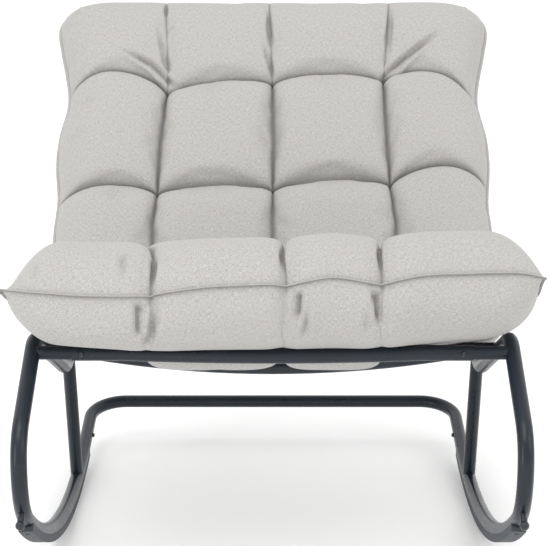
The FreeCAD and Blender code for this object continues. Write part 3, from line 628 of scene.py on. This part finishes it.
grid = clothGrid()
cushionPiece, topIndex, lowIndex = weldedPad(cushionLayers(grid), grid)
weights = np.zeros(len(cushionPiece.data.vertices))
held = heldWeights(grid)
weights[lowIndex.ravel()] = filling["underHold"] * held.ravel()
weights[topIndex.ravel()] = held.ravel()
caps = np.full(len(weights), filling["underCap"])
caps[topIndex.ravel()] = filling["cap"]
inflate(cushionPiece, weights, caps)
pickOnly(cushionPiece)
bpy.ops.object.modifier_add(type="SUBSURF")
cushionPiece.modifiers[-1].levels = 1
cushionPiece.modifiers[-1].render_levels = 1
bpy.ops.object.modifier_apply(modifier=cushionPiece.modifiers[-1].name)
bpy.ops.object.shade_smooth()
# folds of the upper cover and tucks of the lower one: a line over the cloth in u and t, its depth, half width
# and how dark the painted shade along it gets
folds = [
    {"line": [(-0.168, 0.908), (-0.205, 0.945), (-0.262, 0.978)],
     "depth": 0.010, "wide": 0.0040, "paintedShade": 0.40},
    {"line": [(-0.178, 0.935), (-0.189, 0.985), (-0.196, 1.030)],
     "depth": 0.006, "wide": 0.0040, "paintedShade": 0.25},
    {"line": [(-0.184, 1.050), (-0.186, 1.085)],
     "depth": 0.004, "wide": 0.0036, "paintedShade": 0.10},
    {"line": [(-0.001, 0.930), (-0.013, 0.985)],
     "depth": 0.006, "wide": 0.0040, "paintedShade": 0.25},
    {"line": [(-0.004, 0.990), (-0.009, 1.070)],
     "depth": 0.005, "wide": 0.0036, "paintedShade": 0.10},
    {"line": [(0.187, 0.925), (0.225, 0.960), (0.292, 1.020)],
     "depth": 0.011, "wide": 0.0044, "paintedShade": 0.40},
    {"line": [(0.196, 0.975), (0.204, 1.075)],
     "depth": 0.006, "wide": 0.0040, "paintedShade": 0.15},
    {"line": [(-0.330, 0.862), (-0.285, 0.882)],
     "depth": 0.004, "wide": 0.0055, "paintedShade": 0.0},
    {"line": [(-0.345, 0.800), (-0.300, 0.818)],
     "depth": 0.004, "wide": 0.0060, "paintedShade": 0.0},
    {"line": [(-0.1985, 0.006), (-0.2015, 0.016), (-0.1970, 0.030)],
     "depth": 0.005, "wide": 0.0042, "paintedShade": 0.35},
    {"line": [(-0.1610, 0.001), (-0.1590, 0.010), (-0.1620, 0.026)],
     "depth": 0.005, "wide": 0.0034, "paintedShade": 0.75},
    {"line": [(0.0150, 0.002), (0.0125, 0.012), (0.0150, 0.030)],
     "depth": 0.004, "wide": 0.0030, "paintedShade": 0.60},
    {"line": [(0.1450, 0.002), (0.1440, 0.012), (0.1460, 0.030)],
     "depth": 0.004, "wide": 0.0030, "paintedShade": 0.60},
    {"line": [(-0.318, 0.004), (-0.316, 0.018)],
     "depth": 0.003, "wide": 0.0050, "paintedShade": 0.15},
]
tucks = [
    {"line": [(-0.1745, 0.0), (-0.1785, 0.002), (-0.1785, 0.020)],
     "depth": 0.010, "wide": 0.0042, "paintedShade": 0.85, "start": 1.0},
    {"line": [(-0.1585, 0.002), (-0.161, 0.0145), (-0.175, 0.036)],
     "depth": 0.006, "wide": 0.0050, "paintedShade": 0.35},
    {"line": [(0.0331, 0.0), (0.0355, 0.0017), (0.0319, 0.014)],
     "depth": 0.011, "wide": 0.0044, "paintedShade": 0.90, "start": 1.0},
    {"line": [(0.045, 0.007), (0.046, 0.0187), (0.039, 0.038)],
     "depth": 0.006, "wide": 0.0046, "paintedShade": 0.40},
    {"line": [(0.1364, 0.0), (0.140, 0.0018), (0.1423, 0.018)],
     "depth": 0.009, "wide": 0.0040, "paintedShade": 0.85, "start": 1.0},
    {"line": [(0.129, 0.0067), (0.1233, 0.032)],
     "depth": 0.004, "wide": 0.0050, "paintedShade": 0.15},
]


# section and ends of a fold, and the width of the painted shade line along it
foldForm = {
    "rise": 3,
    "start": 0.3,
    "fall": 2.6,
    "lipHeight": 0.35,
    "lipPlace": 2.3,
    "shadeLineWide": 0.55,
}


def pointValues(mesh, name):
    values = np.zeros(len(mesh.vertices), np.float32)
    mesh.attributes[name].data.foreach_get("value", values)
    return values


def foldDepth(places, fold):
    best = np.full(len(places), 1.0)
    share = np.zeros(len(places))
    ends = np.array(fold["line"])
    steps = np.linalg.norm(np.diff(ends, axis=0), axis=1)
    run = np.concatenate([[0], np.cumsum(steps)]) / steps.sum()
    for k in range(len(steps)):
        way = ends[k + 1] - ends[k]
        along = np.clip((places - ends[k]) @ way / (way @ way), 0, 1)
        gap = np.linalg.norm(places - ends[k] - along[:, None] * way, axis=1)
        closer = gap < best
        best = np.where(closer, gap, best)
        share = np.where(closer, run[k] + along * (run[k + 1] - run[k]), share)
    start = share * foldForm["rise"] + fold.get("start", foldForm["start"])
    taper = np.clip(np.minimum(start, (1 - share) * foldForm["fall"]), 0, 1)
    lip = np.exp(-((best - foldForm["lipPlace"] * fold["wide"]) / fold["wide"]) ** 2)
    groove = np.exp(-(best / fold["wide"]) ** 2) - foldForm["lipHeight"] * lip
    # painted shade along the fold line, darkest on it
    line = np.exp(-(best / (foldForm["shadeLineWide"] * fold["wide"])) ** 2)
    return groove * taper * fold["depth"], line * taper * fold["paintedShade"]


def pressFolds(piece):
    mesh = piece.data
    places = np.stack([pointValues(mesh, "across"), pointValues(mesh, "along")], axis=1).astype(float)
    lower = pointValues(mesh, "lower") > 0.5
    normals = np.zeros(len(mesh.vertices) * 3)
    mesh.vertices.foreach_get("normal", normals)
    depth = np.zeros(len(mesh.vertices))
    paintedShade = pointValues(mesh, "crease")
    # each fold and tuck is pressed in as a groove, and its painted shade is added to the crease attribute
    for side, lines in ((~lower, folds), (lower, tucks)):
        for fold in lines:
            groove, line = foldDepth(places[side], fold)
            depth[side] += groove
            paintedShade[side] = np.maximum(paintedShade[side], line)
    mesh.attributes["crease"].data.foreach_set("value", paintedShade)
    writePoints(mesh, readPoints(mesh) - normals.reshape(-1, 3) * depth[:, None])
    for name in ("across", "along", "lower"):
        mesh.attributes.remove(mesh.attributes[name])


pressFolds(cushionPiece)
print("cushion pressed with", len(folds), "folds and", len(tucks), "tucks")
clearOfFrame(cushionPiece, ["front_crossbar", "left_crossbar_spigot", "right_crossbar_spigot",
                            "left_side_tube", "right_side_tube", "seat_support_tube", "low_back_tube",
                            "high_back_tube", "back_hoop"])
print("cushion has", len(cushionPiece.data.polygons), "faces")


# the turned seam edge that runs round the cushion
welt = {
    "thick": 0.0015,
    "wide": 0.0036,
    "out": 0.0014,
    "sides": 8,
    "smoothTurns": 3,
    "clothWide": 0.004,
    # how far down the welt's section faces before it gets painted shadow
    "weltShadowBelow": -0.3,
}


def weltMesh(piece, loop):
    mesh = piece.data
    places = readPoints(mesh)[loop]
    outward = np.array([mesh.vertices[int(i)].normal[:] for i in loop])
    for turn in range(welt["smoothTurns"]):
        outward = (np.roll(outward, 1, 0) + outward + np.roll(outward, -1, 0)) / 3
    outward /= np.linalg.norm(outward, axis=1)[:, None]
    along = np.roll(places, -1, 0) - np.roll(places, 1, 0)
    along /= np.linalg.norm(along, axis=1)[:, None]
    across = np.cross(along, outward)
    across /= np.linalg.norm(across, axis=1)[:, None]
    angles = np.linspace(0, 2 * np.pi, welt["sides"], endpoint=False)
    rings = (places + outward * welt["out"])[:, None, :] \
        + outward[:, None, :] * (welt["wide"] * np.cos(angles))[None, :, None] \
        + across[:, None, :] * (welt["thick"] * np.sin(angles))[None, :, None]
    count, sides = len(loop), welt["sides"]
    index = np.arange(count * sides).reshape(count, sides)
    after = np.roll(index, -1, 0)
    faces = np.stack([index, after, np.roll(after, -1, 1), np.roll(index, -1, 1)], axis=-1).reshape(-1, 4)
    band = bpy.data.meshes.new("cushionWelt")
    band.from_pydata(rings.reshape(-1, 3).tolist(), [], faces.tolist())
    run = np.concatenate([[0], np.cumsum(np.linalg.norm(np.diff(places, axis=0), axis=1))])
    spread = np.stack([np.repeat(run, sides), np.tile(angles * welt["clothWide"], count)], axis=1)
    corners = np.zeros(len(band.loops), int)
    band.loops.foreach_get("vertex_index", corners)
    uvs = band.uv_layers.new(name="cloth")
    uvs.data.foreach_set("uv", spread[corners].ravel().astype(np.float32))
    # painted shadow under the welt: its downward-facing side is set fully dark in the crease attribute
    paintedShade = band.attributes.new("crease", "FLOAT", "POINT")
    facing = np.where((across @ np.array([0, 0, 1.0]))[:, None] > 0, 1, -1) * np.sin(angles)[None, :]
    paintedShade.data.foreach_set("value", np.where(facing < welt["weltShadowBelow"], 1.0, 0.0).ravel().astype(np.float32))
    weltPiece = bpy.data.objects.new("cushionWelt", band)
    bpy.context.scene.collection.objects.link(weltPiece)
    pickOnly(weltPiece)
    bpy.ops.object.mode_set(mode="EDIT")
    bpy.ops.mesh.select_all(action="SELECT")
    bpy.ops.mesh.normals_make_consistent(inside=False)
    bpy.ops.object.mode_set(mode="OBJECT")
    bpy.ops.object.shade_smooth()
    return weltPiece


rim = np.concatenate([topIndex[0, :-1], topIndex[:-1, -1], topIndex[-1, :0:-1], topIndex[:0:-1, 0]])
weltPiece = weltMesh(cushionPiece, rim)
print("welt runs round", len(rim), "points")


# heathered twill: fine threads of three near tones, faint diagonal rib, and painted shade in the creases
cloth = {
    "light": (0.510, 0.501, 0.480),
    "mid": (0.394, 0.386, 0.367),
    "dark": (0.276, 0.268, 0.253),
    "rosy": (0.408, 0.382, 0.365),
    # colour of the painted shade in creases, folds, tucks and under the welt
    "creaseShadeTone": (0.15, 0.145, 0.14),
    "threads": ((760, 210, 1), (210, 760, 1)),
    "toneStops": (0.30, 0.50, 0.70),
    "blushScale": 90,
    "blush": (0.45, 0.75, 0.0, 0.55),
    # how far the painted shade mixes toward that colour
    "creaseShadeShare": 0.7,
    "rib": 0.0029,
    "ribTone": (0.93, 1.06),
    "ribTwist": 1.6,
    "ribDetail": 0.6,
    "ribBump": (0.25, 0.0004),
    "threadBump": (0.3, 0.0006),
    "roughness": 0.92,
    "sheen": 0.15,
    "sheenRoughness": 0.5,
    "specular": 0.2,
}


def mixNode(nodes, links, share, first, second):
    mix = nodes.new("ShaderNodeMix")
    mix.data_type = "RGBA"
    links.new(share, mix.inputs["Factor"])
    for value, name in ((first, "A"), (second, "B")):
        socket = [i for i in mix.inputs if i.name == name and i.type == "RGBA"][0]
        if isinstance(value, tuple):
            socket.default_value = (*value, 1)
        else:
            links.new(value, socket)
    return [o for o in mix.outputs if o.type == "RGBA"][0]


def twillCloth():
    material, nodes, links, shader = newMaterial("greigeTwill")
    uv = nodes.new("ShaderNodeUVMap")
    uv.uv_map = "cloth"
    place = uv.outputs["UV"]
    streaks = []
    for scale in cloth["threads"]:
        stretch = nodes.new("ShaderNodeMapping")
        stretch.inputs["Scale"].default_value = scale
        links.new(place, stretch.inputs["Vector"])
        streaks.append(noiseNode(nodes, links, stretch.outputs["Vector"], 1.0, 2))
    mixed = nodes.new("ShaderNodeMath")
    mixed.operation = "ADD"
    links.new(streaks[0].outputs["Fac"], mixed.inputs[0])
    links.new(streaks[1].outputs["Fac"], mixed.inputs[1])
    halved = nodes.new("ShaderNodeMath")
    halved.operation = "MULTIPLY"
    halved.inputs[1].default_value = 0.5
    links.new(mixed.outputs["Value"], halved.inputs[0])
    tones = zip(cloth["toneStops"], (cloth["dark"], cloth["mid"], cloth["light"]))
    tone = rampNode(nodes, links, halved.outputs["Value"], list(tones))
    cloud = noiseNode(nodes, links, place, cloth["blushScale"], 4, 0.6)
    blush = rangeNode(nodes, links, cloud.outputs["Fac"], *cloth["blush"])
    tinted = mixNode(nodes, links, blush.outputs["Result"], tone.outputs["Color"], cloth["rosy"])
    rib = nodes.new("ShaderNodeTexWave")
    rib.wave_type = "BANDS"
    rib.bands_direction = "DIAGONAL"
    rib.inputs["Scale"].default_value = 0.444 / cloth["rib"]  # a diagonal band at scale 1 is 0.444 wide
    rib.inputs["Distortion"].default_value = cloth["ribTwist"]
    rib.inputs["Detail Scale"].default_value = cloth["ribDetail"]
    links.new(place, rib.inputs["Vector"])
    ribTone = rangeNode(nodes, links, rib.outputs["Fac"], 0.0, 1.0, *cloth["ribTone"])
    ribbed = nodes.new("ShaderNodeVectorMath")
    ribbed.operation = "SCALE"
    links.new(tinted, ribbed.inputs["Vector"])
    links.new(ribTone.outputs["Result"], ribbed.inputs["Scale"])
    # painted shade: the crease attribute mixes the cloth toward the dark shade colour
    crease = nodes.new("ShaderNodeAttribute")
    crease.attribute_name = "crease"
    creaseShadeAmount = rangeNode(nodes, links, crease.outputs["Fac"], 0.0, 1.0, 0.0, cloth["creaseShadeShare"])
    paintedShadeColour = mixNode(nodes, links, creaseShadeAmount.outputs["Result"], ribbed.outputs["Vector"], cloth["creaseShadeTone"])
    links.new(paintedShadeColour, shader.inputs["Base Color"])
    first = bumpNode(nodes, links, rib.outputs["Fac"], *cloth["ribBump"])
    second = bumpNode(nodes, links, halved.outputs["Value"], *cloth["threadBump"], first)
    links.new(second.outputs["Normal"], shader.inputs["Normal"])
    shader.inputs["Roughness"].default_value = cloth["roughness"]
    shader.inputs["Sheen Weight"].default_value = cloth["sheen"]
    shader.inputs["Sheen Roughness"].default_value = cloth["sheenRoughness"]
    shader.inputs["Specular IOR Level"].default_value = cloth["specular"]
    return material


twill = twillCloth()
weltPiece.data.materials.append(twill)
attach(weltPiece, "root")
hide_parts("tufted_cushion")
cushionPiece.data.materials.append(twill)
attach(cushionPiece, "root")
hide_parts("tufted_cushion")


# pale floor and soft studio light
studio = {
    "floorSize": 90.0,
    "floorTone": (0.95, 0.95, 0.948),
    "floorCloud": 3,
    "floorShade": 0.985,
    "floorRoughness": 0.9,
    "floorSpecular": 0.1,
    "floorGlow": 0.13,
    "worldTone": (1.0, 1.0, 1.0),
    "worldPower": 1.06,
}


def floorMaterial():
    material, nodes, links, shader = newMaterial("paleFloor")
    place = nodes.new("ShaderNodeTexCoord").outputs["Object"]
    cloud = noiseNode(nodes, links, place, studio["floorCloud"], 3)
    low = tuple(v * studio["floorShade"] for v in studio["floorTone"])
    tone = rampNode(nodes, links, cloud.outputs["Fac"], [(0.3, low), (0.7, studio["floorTone"])])
    links.new(tone.outputs["Color"], shader.inputs["Base Color"])
    shader.inputs["Roughness"].default_value = studio["floorRoughness"]
    shader.inputs["Specular IOR Level"].default_value = studio["floorSpecular"]
    shader.inputs["Emission Color"].default_value = (*studio["floorTone"], 1)
    shader.inputs["Emission Strength"].default_value = studio["floorGlow"]
    return material


bpy.ops.object.select_all(action="DESELECT")
bpy.ops.mesh.primitive_plane_add(size=studio["floorSize"], location=(0, 0, 0))
floor = bpy.context.object
floor.name = "paleFloor"
bpy.ops.object.transform_apply(location=True, rotation=True, scale=True)
floor.data.materials.append(floorMaterial())

lamps = [
    {"name": "overFront", "place": (-0.6, -1.5, 3.4), "aim": (0, 0.1, 0.4), "size": 2.6, "power": 46},
    {"name": "rightFill", "place": (2.6, -1.6, 1.8), "aim": (0, 0, 0.4), "size": 2.0, "power": 14},
    {"name": "leftStrip", "place": (-1.7, -1.9, 0.55), "aim": (-0.25, -0.3, 0.25), "size": 0.10, "tall": 1.3,
     "power": 9},
]
for lamp in lamps:
    bpy.ops.object.light_add(type="AREA", location=lamp["place"])
    light = bpy.context.object
    light.name = lamp["name"]
    light.data.size = lamp["size"]
    if "tall" in lamp:
        light.data.shape = "RECTANGLE"
        light.data.size_y = lamp["tall"]
    light.data.energy = lamp["power"]
    light.rotation_euler = (Vector(lamp["aim"]) - Vector(lamp["place"])).to_track_quat("-Z", "Y").to_euler()

world = bpy.data.worlds.new("softStudio")
bpy.context.scene.world = world
world.use_nodes = True
backdrop = world.node_tree.nodes["Background"]
backdrop.inputs["Color"].default_value = (*studio["worldTone"], 1)
backdrop.inputs["Strength"].default_value = studio["worldPower"]
bpy.context.scene.view_settings.view_transform = "Standard"
print("studio lit by", len(lamps), "lamps")

bpy.context.view_layer.update()
